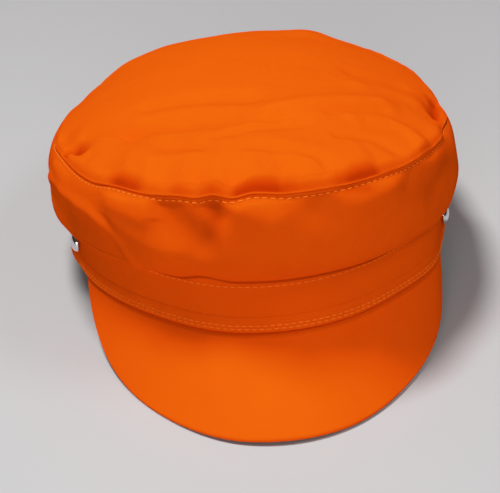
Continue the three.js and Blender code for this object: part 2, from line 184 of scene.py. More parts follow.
# folds of the top, each a path of x and y
topFolds = [
    ([(-86, -12), (-76, -38)], 6, 6, -3.2),
    ([(-66, -69), (-52, -86)], 6, 6, -2.8),
    ([(-41, -93), (-34, -99)], 5, 5, -2.6),
    ([(-26, -101), (-17, -105)], 5, 5, -2.2),
    ([(-9, -107), (7, -101)], 7, 7, -4.2),
    ([(15, -105), (24, -103)], 4, 4, -1.5),
    ([(34, -100), (50, -90)], 5, 5, -2.2),
    ([(79, -4), (82, -26)], 5, 5, -3.4),
    ([(-70, -30), (-53, -49)], 7, 7, -1.4),
    ([(-53, -49), (-3, -60)], 7, 7, -1.2),
    ([(-45, -31), (-2, -45)], 6, 6, -0.9),
    ([(-3, -62), (54, -43)], 7, 7, 1.3),
    ([(45, -8), (67, -4)], 5, 5, -1.2),
    ([(46, -25), (70, -21)], 5, 5, 1.2),
    ([(47, -60), (70, -56)], 7, 7, -1.6),
    ([(5, -82), (21, -90)], 6, 6, 1.2),
    ([(-66, 70), (-42, 78)], 10, 10, 1.0),
    ([(-6, 58), (2, 70)], 10, 10, 0.8),
    ([(30, 58), (38, 88)], 11, 11, 2.4),
    ([(60, 50), (72, 66)], 12, 12, -2.4),
    ([(-8, 78), (-12, 100)], 9, 9, -1.6),
]
# soft creases across the top, and the puckers where its edge is eased into the seam
topCreases = [
    ([(-74, -25), (-53, -47), (-34, -59), (-17, -65), (9, -65)], 5, 2.2, -0.7),
    ([(30, -58), (42, -53), (54, -49)], 4, 2, -0.5),
    ([(-2, -88), (13, -89), (23, -94), (26, -100)], 4, 2.2, -0.5),
    ([(41, -60), (56, -56), (65, -58), (68, -69)], 4, 4, 0.7),
    ([(-50, -58), (-37, -74), (-25, -79)], 4, 4, -0.4),
    ([(-68, -58), (-46, -80), (-25, -88)], 5, 5, 0.5),
    ([(-53, -49), (-3, -60)], 7, 5, -0.5),
    ([(-45, -31), (-2, -45)], 6, 5, -0.5),
    ([(-3, -62), (54, -43)], 7, 6, 0.6),
    ([(45, -8), (67, -4)], 5, 4, -0.5),
    ([(-16, -74), (-3, -73), (18, -70)], 4, 2.5, -0.4),
    ([(33, -76), (46, -74), (54, -79)], 4, 3, -0.5),
]
puckers = [
    ([(-88, -34), (-83, -30), (-79, -29), (-77, -35)], 3.5, 3.5, -2.6),
    ([(83, 4), (82, -8), (80, -22)], 3, 3, -2.6),
]
# where the top rolls over steeply before it meets the seam: how much it stands up, and how far in
rollRows = {
    "angle": [-180, -95, -62, -49, -43, -38, -33, -28, -24, -19, -14, -10, -7, -3, 1, 5, 10, 17, 21, 26,
              31, 35, 45, 95, 180],
    "rise":  [0, 0, 1.2, 1.8, 4, 3.8, 2.2, 1.8, 3, 2.2, 3.2, 2.4, 4.2, 5.4, 5.2, 3.4, 2.6, 2.2, 3.2, 4.4,
              4, 2.2, 1, 0, 0],
    "width": [3, 3, 3, 3.5, 6.5, 6.5, 4.5, 4, 5, 4.5, 5, 4.5, 7, 8.5, 8, 5.5, 4.5, 4, 5, 6.5,
              6.5, 4, 3, 3, 3],
}


def seamAt(angle, out=0.0):
    # the crown seam: higher at the front and back than at the sides, and wavy
    x, y = oval(seamSize, angle, out + readRows(seamRows, "out", angle))
    z = (seamSize["zSide"] + readRows(seamRows, "rise", angle)
         + (seamSize["zFront"] - seamSize["zSide"]) * frontShare(angle)
         + (seamSize["zBack"] - seamSize["zSide"]) * backShare(angle))
    return stack(x, y, z)


def puffAt(angle):
    # the side panel's widest oval, a little higher in front
    x, y = oval(puffSize, angle, readRows(puffRows, "out", angle))
    return stack(x, y, puffSize["z"] + puffSize["frontRise"] * frontShare(angle))


def lipHeight(angle):    # the middle of the cloth where it turns in over the band
    return readRows(lipRows, "z", angle) + cloth["wall"] / 2


# how long the side panel is from lip to seam; then, beside the seam, the side's turned-in edge and
# its stitched groove, and the top's valley
seamTurn = {"panel": 46, "width": 2.8, "rise": 0.12, "soften": 0.8, "rowAt": 2.0, "groove": 0.45,
            "grooveWidth": 0.6, "valley": 0.35, "valleyAt": 1.5, "valleyWidth": 0.9}
# half the crown's wall where the seam presses it, how far in it grows to the full one, and the
# cosine of the top's slope there
pressed = {"half": 0.5, "over": 3.0, "cosine": 0.85}
# waves round the seam, each with its count, start and share
ripples = {"side": 0.14, "top": 0.21, "from": 1.5, "reach": 9,
           "waves": [(37, 0.7, 0.625), (61, 2.1, 0.4375), (89, 4.4, 0.375), (23, 5.2, 0.25)]}


def ripple(angle, inward):
    # small uneven puckers from the sewing: a few waves that don't repeat together, strongest a
    # little way in from the seam
    a = np.radians(angle)
    waves = sum(share * np.sin(count * a + start) for count, start, share in ripples["waves"])
    return waves * smooth(inward / ripples["from"]) * smooth(1 - inward / ripples["reach"])


# the side panel's curve: how steeply it leaves the lip and how far it swells before the seam; its
# folds end a little before both
panelCurve = {"leave": 0.15, "swell": 0.9, "arrive": 0.55, "lengthwise": 0.8, "foldsFromSeam": 0.12,
              "foldsFromLip": 0.15}


def panelAt(angle, height):
    # a cubic curve from the lip out to the puff and in to the seam, plus the folds
    low = bandAt(angle, lip["out"], 0.0)
    low[..., 2] = lipHeight(angle)
    wide, high = puffAt(angle), seamAt(angle)
    leave = wide.copy()
    leave[..., 2] = low[..., 2] + panelCurve["leave"] * (wide[..., 2] - low[..., 2])
    arrive = wide + panelCurve["swell"] * (wide - high)
    arrive[..., 2] = wide[..., 2] + panelCurve["arrive"] * (high[..., 2] - wide[..., 2])
    h = np.broadcast_to(height, low.shape[:-1])[..., None]
    point = (1 - h) ** 3 * low + 3 * h * (1 - h) ** 2 * leave + 3 * h * h * (1 - h) * arrive + h ** 3 * high
    outward = wide * (1, panelCurve["lengthwise"], 0)
    outward /= np.linalg.norm(outward, axis=-1, keepdims=True)
    h = h[..., 0]
    lift = foldSum(sideFolds, angle, h, cloth["perDegree"], seamTurn["panel"], wrapped=True)
    lift = lift * smooth((1 - h) / panelCurve["foldsFromSeam"]) * smooth(h / panelCurve["foldsFromLip"])
    # the seam's turned-in edge stands up a little as far as the stitch row, which sinks in
    fromSeam = (1 - h) * seamTurn["panel"]
    lift = lift + seamTurn["rise"] * smooth((seamTurn["width"] - fromSeam) / seamTurn["soften"])
    lift = lift - seamTurn["groove"] * bell(fromSeam, seamTurn["rowAt"], seamTurn["grooveWidth"])
    lift = lift + ripples["side"] * ripple(angle, fromSeam)
    return point + outward * lift[..., None]


# the share of the way in over which the top's folds grow, how many times its puckers and creases are
# enlarged and how far in they grow, and how far in the roll dies away
topLift = {"folds": 0.07, "puckers": 1.3, "creases": 3.0, "growOver": 2.0, "rollReach": 20}


def topAt(angle, ring):
    # a soft dome over the seam: z falls from the middle to the rim as ring ** fullness
    rim = seamAt(angle, dome["rimOverhang"])
    rimZ = rim[..., 2] + gap + cloth["wall"] / 2
    x, y = rim[..., 0] * ring, rim[..., 1] * ring
    z = dome["height"] + (rimZ - dome["height"]) * np.broadcast_to(ring, x.shape) ** dome["fullness"]
    lift = foldSum(topFolds, x, y) * smooth((1 - ring) / topLift["folds"])
    fromRim = (1 - ring) * np.hypot(rim[..., 0], rim[..., 1])
    fine = topLift["puckers"] * foldSum(puckers, x, y) + topLift["creases"] * foldSum(topCreases, x, y)
    lift = lift + fine * smooth(fromRim / topLift["growOver"])
    lift = lift - seamTurn["valley"] * bell(fromRim, seamTurn["valleyAt"], seamTurn["valleyWidth"])
    rise, width = readRows(rollRows, "rise", angle), readRows(rollRows, "width", angle)
    lift = lift + rise * smooth(fromRim / width) * bell(fromRim, 0, topLift["rollReach"])
    lift = lift + ripples["top"] * ripple(angle + 4, fromRim)
    return stack(x, y, z + lift)


# for the painted shade on the top: how deep a pucker is that gets full painted shade, how high and how far
# in the roll gets painted shade, and the thin line of painted shade along the seam
topShade = {"pucker": 3.0, "rollFrom": 1.0, "rollRange": 2.9, "rollReach": 1.25, "rollSoft": 1.1,
            "line": 0.35, "lineAt": 1.2, "lineWidth": 0.6, "growOver": 0.8}


def hollowTop(angle, ring):
    # how much painted shade a place of the top gets, 0 to 1: in a pucker, on the steep of the roll or in
    # the line along the seam
    rim = seamAt(angle, dome["rimOverhang"])
    fromRim = (1 - ring) * np.hypot(rim[..., 0], rim[..., 1])
    pucker = -foldSum(puckers, rim[..., 0] * ring, rim[..., 1] * ring) / topShade["pucker"]
    rise, width = readRows(rollRows, "rise", angle), readRows(rollRows, "width", angle)
    slope = np.clip((rise - topShade["rollFrom"]) / topShade["rollRange"], 0, 1)
    slope = slope * smooth((topShade["rollReach"] - fromRim / width) / topShade["rollSoft"])
    line = topShade["line"] * bell(fromRim, topShade["lineAt"], topShade["lineWidth"])
    shade = np.clip(np.maximum(pucker, slope), 0, 1) * smooth(fromRim / topShade["growOver"])
    return np.maximum(shade, line)


# how dark the painted shade is at the bottom of the stitched groove
grooveShade = 0.6        # at the bottom of the stitched groove


def hollowSide(angle, height):
    # the painted shade for the side panel: in the groove and in the hollows between its folds
    fromSeam = (1 - height) * seamTurn["panel"]
    groove = grooveShade * bell(fromSeam, seamTurn["rowAt"], seamTurn["grooveWidth"])
    paintedShading = -foldSum(sideShades, angle, height, cloth["perDegree"], seamTurn["panel"], wrapped=True)
    return np.maximum(groove, np.clip(paintedShading, 0, 1))


# the side's seam edge under the top: how far in its rows of points are, the cosine of the slope, on
# which both walls count straight down, and the room between them
seamEdge = {"rows": (1.2, 2.4, 3.6), "cosine": 0.6, "clear": 0.2}


def underTop(angle, inward):
    # a place under the top, a given way in from its rim
    reach = np.linalg.norm(seamAt(angle, dome["rimOverhang"])[..., :2], axis=-1)
    point = topAt(angle, 1 - (dome["rimOverhang"] + inward) / reach)
    point[..., 2] -= (cloth["wall"] / 2 + pressed["half"]) / seamEdge["cosine"] + seamEdge["clear"]
    return point


# the peak: straight lines that run forward and down from the rim
peak = {"length": 45.6, "slope": 49.5, "slopeEase": 2.9, "halfAngle": 73.5, "roundness": 3.1,
        "leftRoundness": 4.2, "converge": 0.05, "wall": 2.6, "flange": 6, "horn": 1.5}


def peakAt(angle, share):
    # from front to horn the face's length falls as the root of 1 - |across| ** roundness, and its
    # slope eases with across squared
    across = angle / peak["halfAngle"]
    roundness = np.where(across < 0, peak["leftRoundness"], peak["roundness"])
    curve = np.sqrt(np.clip(1 - np.abs(across) ** roundness, 0, None))
    width = peak["horn"] + (peak["length"] - peak["horn"]) * curve
    slope = np.radians(peak["slope"] - peak["slopeEase"] * across ** 2)
    point = bandAt(angle, -peak["wall"] / 2, -gap - peak["wall"] / 2)
    run = width * share
    point[..., 0] -= peak["converge"] * np.sin(np.radians(angle)) * np.cos(slope) * run
    point[..., 1] -= np.cos(slope) * run
    point[..., 2] -= np.sin(slope) * run
    return point


def settle(points):
    # lean back by the tilt, move to the frame's origin, press flat what would pass the floor, metres
    t = math.radians(lying["tilt"])
    x, y, z = points[..., 0], points[..., 1], points[..., 2]
    turned = np.stack([x, y * math.cos(t) + z * math.sin(t), -y * math.sin(t) + z * math.cos(t)], -1)
    turned = turned + lying["shift"]
    turned[..., 2] = np.maximum(turned[..., 2], 0)
    return turned * mm


def curveThrough(points, steps):
    # Catmull-Rom through a few control points, each an array of places, into steps per span
    p = np.concatenate([[2 * points[0] - points[1]], points, [2 * points[-1] - points[-2]]])
    t = np.arange(steps)[:, None, None] / steps
    spans = [b + 0.5 * ((c - a) * t + (2 * a - 5 * b + 4 * c - d) * t ** 2
                        + (3 * b - a - 3 * c + d) * t ** 3)
             for a, b, c, d in zip(p, p[1:], p[2:], p[3:])]
    return np.concatenate(spans + [p[-2][None]])


def gridNormals(middle, wraps):
    # cross product of the two directions of the grid
    along = np.gradient(middle, axis=1)
    if wraps:
        across = (np.roll(middle, -1, 0) - np.roll(middle, 1, 0)) / 2
    else:
        across = np.gradient(middle, axis=0)
    normal = np.cross(along, across)
    return normal / np.maximum(np.linalg.norm(normal, axis=-1, keepdims=True), 1e-9)


def alongLengths(middle):
    # how far each column of the grid is from the first, in millimetres
    step = np.linalg.norm(np.diff(middle, axis=1), axis=-1).mean(0)
    return np.concatenate([[0], np.cumsum(step)])


def roundEdges(run, half, last):
    # half the wall falls to nothing along a quarter circle at the first edge, and at the last
    # one where it is open
    near = np.clip(run / half[0], 0, 1)
    half = half * np.sqrt(1 - (1 - near) ** 2)
    if last:
        near = np.clip((run[-1] - run) / half[-1], 0, 1)
        half = half * np.sqrt(1 - (1 - near) ** 2)
    return half


def makeMesh(name, points, faces, uv=None, uvPeriod=None):
    # points and blocks of faces into a smooth mesh, with a flat map where one is given
    mesh = bpy.data.meshes.new(name)
    mesh.from_pydata(points.tolist(), [], [face for block in faces for face in block.tolist()])
    if uv is not None:
        corner = np.empty(len(mesh.loops), dtype=np.int32)
        mesh.loops.foreach_get("vertex_index", corner)
        values = uv[corner].copy()
        if uvPeriod:     # faces over the join at the back read on past the end
            sizes = np.concatenate([np.full(len(block), block.shape[1]) for block in faces])
            face = np.repeat(np.arange(len(sizes)), sizes)
            high = np.full(len(sizes), -1e9)
            np.maximum.at(high, face, values[:, 0])
            values[:, 0] += np.where(high[face] - values[:, 0] > uvPeriod / 2, uvPeriod, 0)
        layer = mesh.uv_layers.new(name="flat")
        layer.data.foreach_set("uv", values.ravel().astype(np.float32))
    mesh.validate()
    mesh.polygons.foreach_set("use_smooth", np.ones(len(mesh.polygons), dtype=bool))
    piece = bpy.data.objects.new(name, mesh)
    bpy.context.collection.objects.link(piece)
    return piece


def wallPiece(name, middle, half, wraps, uv, uvPeriod=None, pole=None, hollow=None):
    # both faces of a cloth: the middle surface moved half a wall each way along its normal and
    # joined at the edges; in the first and last columns they meet in one line, or a pole closes the
    # last one
    rows, columns = middle.shape[:2]
    normal = gridNormals(middle, wraps)
    half = np.broadcast_to(half, (columns,)).astype(float)
    poleHalf = half[-1]
    half = roundEdges(alongLengths(middle), half, pole is None)[None, :, None]
    points = [(middle + normal * half).reshape(-1, 3), (middle - normal * half).reshape(-1, 3)]
    spans = rows if wraps else rows - 1
    i, j = np.meshgrid(np.arange(spans), np.arange(columns - 1), indexing="ij")
    a, b = (i * columns + j).ravel(), (i * columns + j + 1).ravel()
    c, d = ((i + 1) % rows * columns + j + 1).ravel(), ((i + 1) % rows * columns + j).ravel()
    back = rows * columns
    quads = [np.stack([a, b, c, d], -1), np.stack([a, d, c, b], -1) + back]
    k = np.arange(spans)
    here, there = k * columns, (k + 1) % rows * columns
    quads.append(np.stack([here, there, there + back, here + back], -1))
    last = columns - 1
    triangles = []
    if pole is None:
        quads.append(np.stack([here + last, here + last + back, there + last + back, there + last], -1))
    else:
        top = 2 * back
        poleNormal = normal[:, -1].mean(0)
        points.append(np.array([pole + poleNormal * poleHalf, pole - poleNormal * poleHalf]))
        triangles.append(np.stack([here + last, 0 * k + top, there + last], -1))
        triangles.append(np.stack([here + last + back, there + last + back, 0 * k + top + 1], -1))
    if not wraps:
        m = np.arange(columns - 1)
        end = (rows - 1) * columns
        quads.append(np.stack([m, m + back, m + 1 + back, m + 1], -1))
        quads.append(np.stack([end + m, end + m + 1, end + m + 1 + back, end + m + back], -1))
    allUv = np.concatenate([uv.reshape(-1, 2), uv.reshape(-1, 2)])
    if pole is not None:
        allUv = np.concatenate([allUv, [[0, 0], [0, 0]]])
    piece = makeMesh(name, settle(np.concatenate(points)), quads + triangles, allUv, uvPeriod)
    # painted shade, 0 to 1, stored on the points of both faces for the cloth's colour
    if hollow is not None:
        paintedShadeAmount = np.zeros(len(piece.data.vertices), dtype=np.float32)
        paintedShadeAmount[:2 * back] = np.tile(np.clip(hollow, 0, 1).ravel(), 2)
        piece.data.attributes.new("hollow", "FLOAT", "POINT").data.foreach_set("value", paintedShadeAmount)
    tidyMesh(piece)
    return piece


def tidyMesh(piece):
    # where the two faces meet in one line their points are merged, and the body faces out
    work = bmesh.new()
    work.from_mesh(piece.data)
    bmesh.ops.remove_doubles(work, verts=work.verts, dist=1e-6)
    bmesh.ops.dissolve_degenerate(work, edges=work.edges, dist=1e-7)
    bmesh.ops.recalc_face_normals(work, faces=work.faces)
    work.to_mesh(piece.data)
    work.free()


def edgeSteps(count, length, radius, first=True, last=True):
    # shares from 0 to 1, with a few extra close together inside each rounded edge
    turn = 1 - np.cos(np.linspace(0, math.pi / 2, 6))[:-1]
    parts = [turn * radius / length] if first else []
    start = radius / length if first else 0.0
    stop = 1 - radius / length if last else 1.0
    parts.append(np.linspace(start, stop, count))
    if last:
        parts.append(1 - turn[::-1] * radius / length)
    return np.unique(np.concatenate(parts).round(6))


print("hat: camera and light")
# the camera's response: straight up to the mid tones, then a soft shoulder in the red, which
# bright orange cloth would overload first
response = [(0, 0), (0.15, 0.15), (0.29, 0.29), (0.38, 0.355), (0.5, 0.395), (0.75, 0.468), (1, 0.502)]


def cameraResponse():
    shown = bpy.context.scene.view_settings
    shown.view_transform = "Standard"
    shown.exposure = 1
    shown.use_curve_mapping = True
    red = shown.curve_mapping.curves[0]
    red.points[1].location = response[-1]
    for place in response[1:-1]:
        red.points.new(*place)
    shown.curve_mapping.update()


cameraResponse()
view = {"distance": 800, "above": 24.3, "aside": -0.87, "roll": -4.1, "focal": 1689,
        "target": (-5.83, 0, -4.46), "pixelsWide": 500, "sensor": 36}


def placeCamera():
    # the camera looks at the target from above the front, turned in its own plane by the roll;
    # both are worked out in the wearer's frame and lean back with the hat
    up, aside, roll = (math.radians(view[k]) for k in ("above", "aside", "roll"))
    back = np.array([math.sin(aside) * math.cos(up), -math.cos(aside) * math.cos(up), math.sin(up)])
    eye = np.array(view["target"]) + view["distance"] * back
    right = np.cross(-back, (0, 0, 1))
    right /= np.linalg.norm(right)
    upward = np.cross(right, -back)
    rolledRight = math.cos(roll) * right + math.sin(roll) * upward
    rolledUp = -math.sin(roll) * right + math.cos(roll) * upward
    t = math.radians(lying["tilt"])
    lean = np.array([[1, 0, 0], [0, math.cos(t), math.sin(t)], [0, -math.sin(t), math.cos(t)]])
    axes = lean @ np.stack([rolledRight, rolledUp, back], 1)
    place = (lean @ eye + lying["shift"]) * mm
    data = bpy.data.cameras.new("photoView")
    data.sensor_width = view["sensor"]
    data.lens = view["focal"] * view["sensor"] / view["pixelsWide"]
    data.clip_start = 0.05
    camera = bpy.data.objects.new("photoView", data)
    bpy.context.collection.objects.link(camera)
    matrix = Matrix.Identity(4)
    for row in range(3):
        for column in range(3):
            matrix[row][column] = axes[row, column]
        matrix[row][3] = place[row]
    camera.matrix_world = matrix
    bpy.context.scene.camera = camera


placeCamera()

# all lamps are aimed at the middle of the hat
lights = {
    "aim": (0, 0, 0.05),
    "key": {"at": (-0.25, -0.01, 1.32), "size": 0.3, "power": 11.0},
    "right": {"at": (0.75, -0.35, 1.12), "size": 0.5, "power": 2.4},
    "low": {"at": (-0.22, -1.3, 0.5), "size": 0.7, "power": 4.5},
    "sky": (0.97, 0.98, 1.0), "skyStrength": 0.02,
}


def areaLight(name, at, size, power):
    # a round lamp, turned so that it shines along its own -z to where it is aimed
    data = bpy.data.lights.new(name, "AREA")
    data.shape = "DISK"
    data.size = size
    data.energy = power
    lamp = bpy.data.objects.new(name, data)
    bpy.context.collection.objects.link(lamp)
    back = np.array(at) - lights["aim"]
    back /= np.linalg.norm(back)
    right = np.cross((0, 1, 0.01), back)
    right /= np.linalg.norm(right)
    upward = np.cross(back, right)
    lamp.matrix_world = Matrix([[right[k], upward[k], back[k], at[k]] for k in range(3)] + [[0, 0, 0, 1]])


for name in ("key", "right", "low"):
    areaLight(name, **lights[name])
world = bpy.data.worlds.new("studio")
bpy.context.scene.world = world
world.use_nodes = True
world.node_tree.nodes["Background"].inputs["Color"].default_value = (*lights["sky"], 1)
world.node_tree.nodes["Background"].inputs["Strength"].default_value = lights["skyStrength"]

print("hat: finishes")


def newGroup(name, inputs, outputs):    # an empty shader node group with named sockets
    group = bpy.data.node_groups.new(name, "ShaderNodeTree")
    for label, kind, value in inputs:
        socket = group.interface.new_socket(label, in_out="INPUT", socket_type=kind)
        if value is not None:
            socket.default_value = value
    for label, kind in outputs:
        group.interface.new_socket(label, in_out="OUTPUT", socket_type=kind)
    return group, group.nodes.new("NodeGroupInput"), group.nodes.new("NodeGroupOutput")


def addNode(tree, kind, **settings):
    node = tree.nodes.new(kind)
    for key, value in settings.items():
        setattr(node, key, value)
    return node


def mathNode(tree, operation, a, b):    # a and b are numbers or the outputs of other nodes
    node = addNode(tree, "ShaderNodeMath", operation=operation)
    for slot, value in enumerate((a, b)):
        if isinstance(value, (int, float)):
            node.inputs[slot].default_value = value
        else:
            tree.links.new(value, node.inputs[slot])
    return node.outputs[0]


def twillGroup():
    # warp ribs that climb to one side, crossed by finer weft, with uneven yarns
    group, given, result = newGroup("twillWeave",
        [("Place", "NodeSocketVector", None), ("Ribs", "NodeSocketFloat", 1.8),
         ("Uneven", "NodeSocketFloat", 0.35)],
        [("Height", "NodeSocketFloat"), ("Fleck", "NodeSocketFloat")])
    turned = addNode(group, "ShaderNodeMapping")
    turned.inputs["Rotation"].default_value = (0, 0, math.radians(27))
    group.links.new(given.outputs["Place"], turned.inputs["Vector"])
    ribs = addNode(group, "ShaderNodeTexWave", wave_type="BANDS", bands_direction="X", wave_profile="SIN")
    ribs.inputs["Distortion"].default_value = 1.2
    ribs.inputs["Detail"].default_value = 1
    ribs.inputs["Detail Scale"].default_value = 2
    weft = addNode(group, "ShaderNodeTexWave", wave_type="BANDS", bands_direction="Y", wave_profile="SIN")
    weft.inputs["Distortion"].default_value = 0.6
    yarn = addNode(group, "ShaderNodeTexNoise")
    yarn.inputs["Scale"].default_value = 2.2
    yarn.inputs["Detail"].default_value = 3
    group.links.new(turned.outputs["Vector"], ribs.inputs["Vector"])
    group.links.new(given.outputs["Place"], weft.inputs["Vector"])
    group.links.new(given.outputs["Place"], yarn.inputs["Vector"])
    group.links.new(given.outputs["Ribs"], ribs.inputs["Scale"])
    group.links.new(mathNode(group, "MULTIPLY", given.outputs["Ribs"], 1.4), weft.inputs["Scale"])
    crossed = mathNode(group, "ADD", weft.outputs["Fac"], 0.6)
    woven = mathNode(group, "MULTIPLY", ribs.outputs["Fac"], crossed)
    rough = mathNode(group, "MULTIPLY", yarn.outputs["Fac"], given.outputs["Uneven"])
    group.links.new(mathNode(group, "ADD", woven, rough), result.inputs["Height"])
    group.links.new(yarn.outputs["Fac"], result.inputs["Fleck"])
    return group


def handlingGroup():
    # slow mottling of the dye and faint creases from handling, both 0 to 1 around a half
    group, given, result = newGroup("handledCloth",
        [("Place", "NodeSocketVector", None), ("Mottle Size", "NodeSocketFloat", 30.0),
         ("Crease Size", "NodeSocketFloat", 60.0)],
        [("Mottle", "NodeSocketFloat"), ("Crease", "NodeSocketFloat")])
    mottle = addNode(group, "ShaderNodeTexNoise")
    mottle.inputs["Detail"].default_value = 4
    mottle.inputs["Roughness"].default_value = 0.55
    crease = addNode(group, "ShaderNodeTexNoise")
    crease.inputs["Detail"].default_value = 2
    crease.inputs["Distortion"].default_value = 0.8
    for node, size in ((mottle, "Mottle Size"), (crease, "Crease Size")):
        group.links.new(given.outputs["Place"], node.inputs["Vector"])
        group.links.new(given.outputs[size], node.inputs["Scale"])
    group.links.new(mottle.outputs["Fac"], result.inputs["Mottle"])
    group.links.new(crease.outputs["Fac"], result.inputs["Crease"])
    return group


twill = twillGroup()
handled = handlingGroup()
# the dye where it is lightest and deepest, and the colour of painted shade, laid in hollows where other
# cloth would shade it
orange = {"shade": (0.93, 0.099, 0.0028), "deep": (0.80, 0.076, 0.0022), "hollow": (0.40, 0.026, 0.0006)}
thread = {"shade": (1.0, 0.21, 0.02), "deep": (0.95, 0.16, 0.01)}
nap = {"roughness": 0.45, "tint": (1.0, 0.30, 0.02, 1), "ruffle": 0.08}


def clothFinish(name, dye, rough, sheen, weave, crease):
    # dye varied between two shades and darkened by painted shade where the piece asks for it, a matt nap,
    # and the height of the weave and creases as bump in millimetres
    material = bpy.data.materials.new(name)
    material.use_nodes = True
    tree = material.node_tree
    shader = tree.nodes["Principled BSDF"]
    place = addNode(tree, "ShaderNodeTexCoord")
    worn = addNode(tree, "ShaderNodeGroup", node_tree=handled)
    woven = addNode(tree, "ShaderNodeGroup", node_tree=twill)
    tree.links.new(place.outputs["Object"], worn.inputs["Place"])
    tree.links.new(place.outputs["UV"], woven.inputs["Place"])
    mix = addNode(tree, "ShaderNodeMix", data_type="RGBA")
    mix.inputs["A"].default_value = (*dye["deep"], 1)
    mix.inputs["B"].default_value = (*dye["shade"], 1)
    tone = mathNode(tree, "ADD", mathNode(tree, "MULTIPLY", worn.outputs["Mottle"], 0.8),
                    mathNode(tree, "MULTIPLY", woven.outputs["Fleck"], 0.5))
    tree.links.new(tone, mix.inputs["Factor"])
    # the piece says how much painted shade each place gets, and the colour is mixed that far towards the
    # painted shade colour
    hollow = addNode(tree, "ShaderNodeAttribute", attribute_name="hollow")
    paintedShading = addNode(tree, "ShaderNodeMix", data_type="RGBA")
    paintedShading.inputs["B"].default_value = (*orange["hollow"], 1)
    tree.links.new(mix.outputs["Result"], paintedShading.inputs["A"])
    tree.links.new(hollow.outputs["Fac"], paintedShading.inputs["Factor"])
    tree.links.new(paintedShading.outputs["Result"], shader.inputs["Base Color"])
    ruffle = mathNode(tree, "MULTIPLY", woven.outputs["Fleck"], nap["ruffle"])
    tree.links.new(mathNode(tree, "ADD", ruffle, rough), shader.inputs["Roughness"])
    shader.inputs["Sheen Weight"].default_value = sheen
    shader.inputs["Sheen Roughness"].default_value = nap["roughness"]
    shader.inputs["Sheen Tint"].default_value = nap["tint"]
    shader.inputs["Specular IOR Level"].default_value = 0.0
    soft = addNode(tree, "ShaderNodeBump")
    soft.inputs["Distance"].default_value = crease * mm
    soft.inputs["Strength"].default_value = 1.0
    tree.links.new(worn.outputs["Crease"], soft.inputs["Height"])
    fine = addNode(tree, "ShaderNodeBump")
    fine.inputs["Distance"].default_value = weave * mm
    fine.inputs["Strength"].default_value = 0.6
    tree.links.new(woven.outputs["Height"], fine.inputs["Height"])
    tree.links.new(soft.outputs["Normal"], fine.inputs["Normal"])
    tree.links.new(fine.outputs["Normal"], shader.inputs["Normal"])
    return material


twillCloth = clothFinish("orangeTwill", orange, rough=0.80, sheen=0.02, weave=0.12, crease=1.0)
peakCloth = clothFinish("peakTwill", orange, rough=0.78, sheen=0.02, weave=0.07, crease=0.3)
threadCloth = clothFinish("orangeThread", thread, rough=0.60, sheen=0.10, weave=0.02, crease=0.0)

chrome = {"dull": (0.62, 0.62, 0.64), "bright": (0.80, 0.80, 0.82), "rough": 0.06, "cloudy": 0.12,
          "cloudSize": 900}


def chromeFinish():
    # bright plate, its colour and gloss varied by a faint cloudiness
    material = bpy.data.materials.new("polishedChrome")
    material.use_nodes = True
    tree = material.node_tree
    shader = tree.nodes["Principled BSDF"]
    place = addNode(tree, "ShaderNodeTexCoord")
    cloud = addNode(tree, "ShaderNodeTexNoise")
    cloud.inputs["Scale"].default_value = chrome["cloudSize"]
    cloud.inputs["Detail"].default_value = 3
    tree.links.new(place.outputs["Object"], cloud.inputs["Vector"])
    shader.inputs["Metallic"].default_value = 1
    cloudy = mathNode(tree, "MULTIPLY", cloud.outputs["Fac"], chrome["cloudy"])
    tree.links.new(mathNode(tree, "ADD", cloudy, chrome["rough"]), shader.inputs["Roughness"])
    mix = addNode(tree, "ShaderNodeMix", data_type="RGBA")
    mix.inputs["A"].default_value = (*chrome["dull"], 1)
    mix.inputs["B"].default_value = (*chrome["bright"], 1)
    tree.links.new(cloud.outputs["Fac"], mix.inputs["Factor"])
    tree.links.new(mix.outputs["Result"], shader.inputs["Base Color"])
    return material


chromePlate = chromeFinish()


def dress(piece, material, slot, *nodes):    # its finish, its body, and the solids it stands for
    piece.data.materials.append(material)
    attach(piece, "root")
    if nodes:
        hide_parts(*nodes)


print("hat: crown")
crownGrid = {"around": 440, "panelRows": 66, "lipTurn": 4.0, "tuckSteps": 5, "topRings": 96,
             "crowding": 1.25, "inmost": 0.988}
around = np.arange(crownGrid["around"]) / crownGrid["around"] * 360 - 180


def crownHalf(run):
    # half the crown's wall at a distance from the seam, where it falls smoothly to the pressed one
    full = cloth["wall"] / 2
    return full - (full - pressed["half"]) * smooth(1 - run / pressed["over"])


def crownSide():
    # from the band's top edge down the tuck to the lip, up the panel to the seam, then in under the
    # top's rim, where the cloth is thinner
    a = around
    top = bandSize["height"] + gap + cloth["wall"] / 2
    low = lipHeight(a)
    tuck = np.array([
        bandAt(a, -lip["innerReach"], top), bandAt(a, lip["tuck"] - 0.8, top + 0 * a),
        bandAt(a, lip["tuck"], top - 0.9), bandAt(a, lip["tuck"], 0.5 * (top + low)),
        bandAt(a, lip["tuck"], low + 1.4), bandAt(a, lip["tuck"] + lip["turn"], low + 0.35)])
    tuckPath = curveThrough(np.concatenate([tuck, panelAt(a, 0.0)[None]]), crownGrid["tuckSteps"])[:-1]
    heights = edgeSteps(crownGrid["panelRows"], seamTurn["panel"], crownGrid["lipTurn"], first=False)
    panel = panelAt(a[:, None] + 0 * heights, 0 * a[:, None] + heights)
    under = np.stack([underTop(a, inward) for inward in seamEdge["rows"]], 1)
    middle = np.concatenate([tuckPath.transpose(1, 0, 2), panel, under], 1)
    run = alongLengths(middle)
    first = len(tuckPath)
    last = first + len(heights)
    uv = np.stack(np.broadcast_arrays(a[:, None] * cloth["perDegree"], run[None]), -1)
    # painted shade on the side panel's colour, none on the tuck or under the top
    hollow = np.zeros(middle.shape[:2])
    hollow[:, first:last] = hollowSide(a[:, None] + 0 * heights, 0 * a[:, None] + heights)
    return wallPiece("crownSide", middle, crownHalf(run[last - 1] - run), True, uv,
                     360 * cloth["perDegree"], hollow=hollow)


